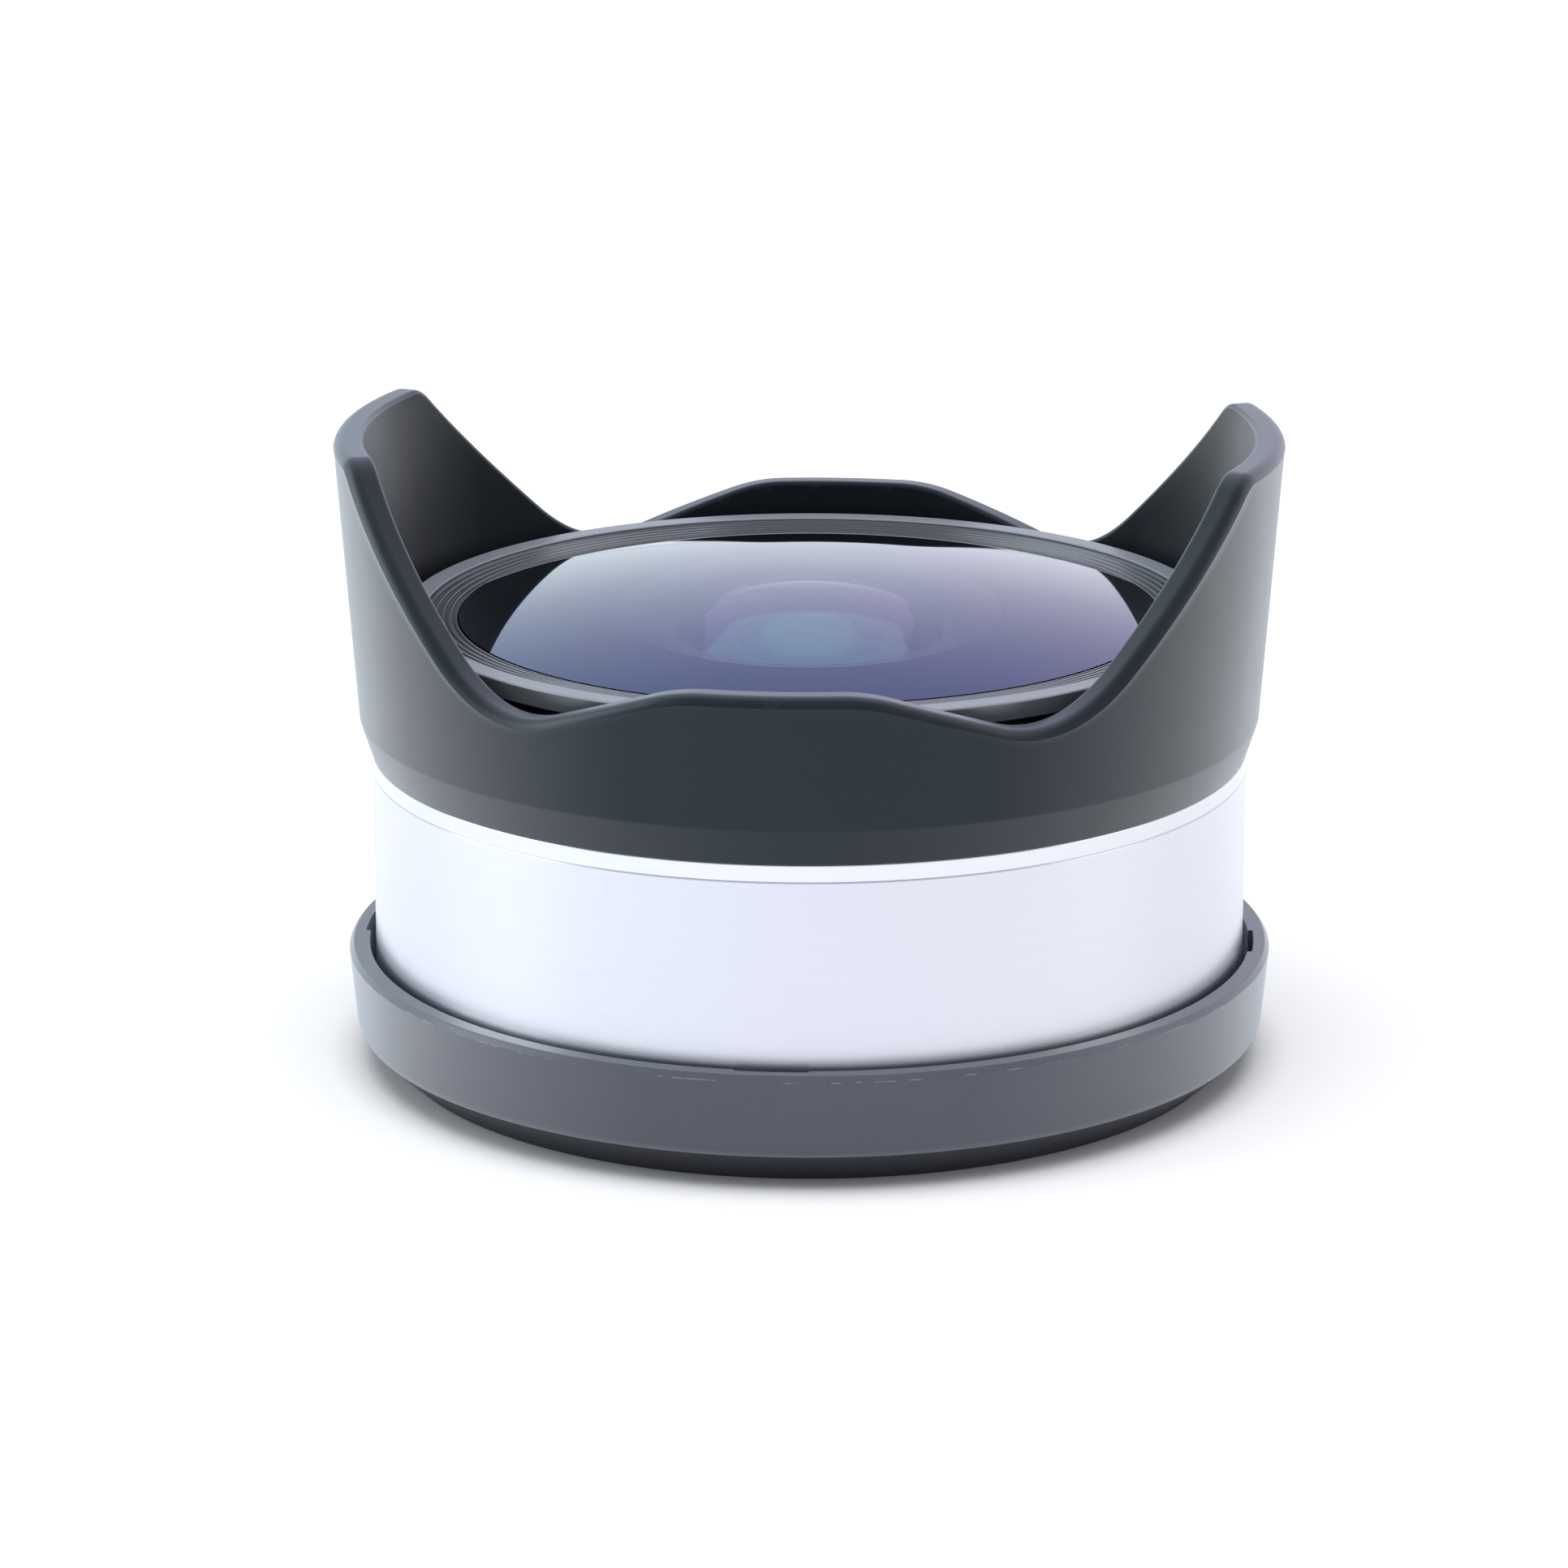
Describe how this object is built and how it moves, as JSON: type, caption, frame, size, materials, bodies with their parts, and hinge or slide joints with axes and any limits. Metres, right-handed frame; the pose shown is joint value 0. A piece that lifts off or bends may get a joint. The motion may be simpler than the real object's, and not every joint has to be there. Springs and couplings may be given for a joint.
{
  "type": "fisheye converter lens",
  "caption": "Fisheye converter lens with a petal hood, a glass dome, a turned barrel with a rear bayonet and lock slider, and a push-on rear cap.",
  "frame": {"origin": "on the optical axis, on the table under the rear cap", "axes": "+Z along the optical axis towards the front glass; +X through a tall petal; the release slider is on the +Y side"},
  "size_m": [0.0666, 0.0658, 0.0451],
  "materials": {
    "hood_plastic": "fine matte charcoal moulding",
    "cap_plastic": "smooth satin grey moulding",
    "satin_aluminium": "fine turned satin, clear anodised",
    "polished_aluminium": "diamond-cut bright",
    "black_aluminium": "black anodised",
    "cover_plastic": "matte black",
    "coated_glass": "polished, blue to purple coating",
    "clear_glass": "polished, coated",
    "plated_brass": "bright plated",
    "steel": "plain",
    "seal_rubber": "matte",
    "index_paint": "filled white"
  },
  "bodies": {
    "cap": {"rear_cap": "cap_plastic"},
    "lens": {"outer_barrel": "satin_aluminium", "trim_ring": "polished_aluminium", "petal_hood": "hood_plastic", "front_cell": "black_aluminium", "front_retaining_ring": "black_aluminium", "front_seal": "seal_rubber", "front_element": "coated_glass", "rear_cell": "black_aluminium", "cell_shim": "steel", "second_element": "clear_glass", "second_retaining_ring": "black_aluminium", "spacer_ring": "black_aluminium", "light_stop": "black_aluminium", "third_element": "clear_glass", "fourth_element": "clear_glass", "rear_retaining_ring": "black_aluminium", "rear_cover": "cover_plastic", "bayonet_ring": "plated_brass", "bayonet_springs": "steel", "index_dot": "index_paint", "lock_spring": "steel", "lock_bracket": "steel", "bracket_screws": "steel", "hood_screws": "steel", "front_cell_screws": "steel", "rear_cell_screws": "steel", "cover_screws": "steel", "bayonet_screws": "steel"},
    "slider": {"slider_plate": "steel", "release_knob": "satin_aluminium", "knob_screw": "steel"},
    "pin": {"lock_pin": "steel", "pin_stud": "steel"}
  },
  "joints": [
    {"name": "rear_cap_pull", "type": "slide", "parent": "cap", "child": "lens", "axis": [0, 0, 1], "range_m": [0, 0.03]},
    {"name": "release_slide", "type": "hinge", "parent": "lens", "child": "slider", "pos_m": [0, 0, 0.0136], "axis": [0, 0, 1], "range_deg": [0, 6], "stiffness_Nm_per_rad": 0.02},
    {"name": "lock_pin_lift", "type": "slide", "parent": "lens", "child": "pin", "axis": [0, 0, 1], "range_m": [0, 0.0015], "deforming": ["lock_spring"]}
  ],
  "couplings": [
    {"joint": "release_slide", "follows": "lock_pin_lift", "rad_per_m": 69.8}
  ]
}
